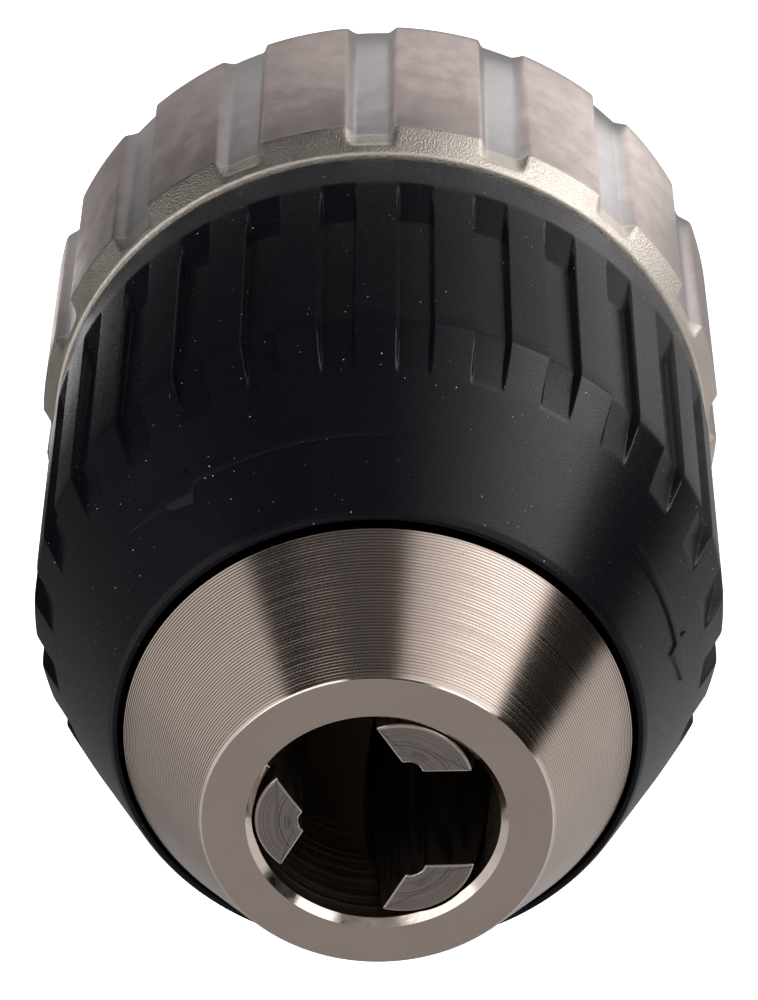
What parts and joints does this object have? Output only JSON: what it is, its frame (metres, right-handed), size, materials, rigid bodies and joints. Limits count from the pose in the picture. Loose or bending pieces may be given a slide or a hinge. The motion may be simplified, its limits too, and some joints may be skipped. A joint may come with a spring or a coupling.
{
  "type": "keyless drill chuck",
  "caption": "Hand-tightened drill chuck with inclined jaws, a split drive nut, a ball thrust bearing, a ribbed plastic sleeve and a padded metal rear ring.",
  "frame": {"origin": "centre of the rear face, where the spindle's shoulder seats, with the chuck standing on that face", "axes": "+Z along the chuck's axis towards the nose; +X through the axis of jaw_1"},
  "size_m": [0.0424, 0.0424, 0.056],
  "materials": {
    "body_steel": "bright turned steel with fine turning lines",
    "jaw_steel": "ground and hardened steel with faint turning arcs on the front",
    "nut_steel": "dark machined steel, lightly oiled",
    "band_steel": "drawn sheet steel, bright zinc plated",
    "race_steel": "ground bearing steel",
    "cage_metal": "pressed brass",
    "ball_steel": "polished bearing steel",
    "sleeve_plastic": "black glass-filled nylon, fine spark-eroded grain",
    "ring_metal": "satin nickel plate, smooth pads and a blasted front bevel"
  },
  "bodies": {
    "chuck": {"chuck_body": "body_steel", "rear_ring": "ring_metal", "thrust_washer": "race_steel"},
    "sleeve": {"front_sleeve": "sleeve_plastic", "nut_half_a": "nut_steel", "nut_half_b": "nut_steel", "nut_band": "band_steel"},
    "bearing": {"ball_cage": "cage_metal", "ball_01": "ball_steel", "ball_02": "ball_steel", "ball_03": "ball_steel", "ball_04": "ball_steel", "ball_05": "ball_steel", "ball_06": "ball_steel", "ball_07": "ball_steel", "ball_08": "ball_steel", "ball_09": "ball_steel", "ball_10": "ball_steel", "ball_11": "ball_steel", "ball_12": "ball_steel", "ball_13": "ball_steel", "ball_14": "ball_steel", "ball_15": "ball_steel"},
    "jaw_a": {"jaw_1": "jaw_steel"},
    "jaw_b": {"jaw_2": "jaw_steel"},
    "jaw_c": {"jaw_3": "jaw_steel"}
  },
  "joints": [
    {"name": "sleeve_turn", "type": "hinge", "parent": "chuck", "child": "sleeve", "pos_m": [0, 0, 0.028], "axis": [0, 0, 1], "range_deg": [-2218, 1648]},
    {"name": "bearing_turn", "type": "hinge", "parent": "chuck", "child": "bearing", "pos_m": [0, 0, 0.02755], "axis": [0, 0, 1], "range_deg": [-1110, 825]},
    {"name": "jaw_1_slide", "type": "slide", "parent": "chuck", "child": "jaw_a", "axis": [-0.2588, 0, 0.9659], "range_m": [-0.00947, 0.01275]},
    {"name": "jaw_2_slide", "type": "slide", "parent": "chuck", "child": "jaw_b", "axis": [0.1294, -0.2241, 0.9659], "range_m": [-0.00947, 0.01275]},
    {"name": "jaw_3_slide", "type": "slide", "parent": "chuck", "child": "jaw_c", "axis": [0.1294, 0.2241, 0.9659], "range_m": [-0.00947, 0.01275]}
  ],
  "couplings": [
    {"joint": "sleeve_turn", "follows": "jaw_1_slide", "rad_per_m": -3034.5},
    {"joint": "bearing_turn", "follows": "jaw_1_slide", "rad_per_m": -1517.3},
    {"joint": "jaw_2_slide", "follows": "jaw_1_slide", "ratio": 1},
    {"joint": "jaw_3_slide", "follows": "jaw_1_slide", "ratio": 1}
  ]
}
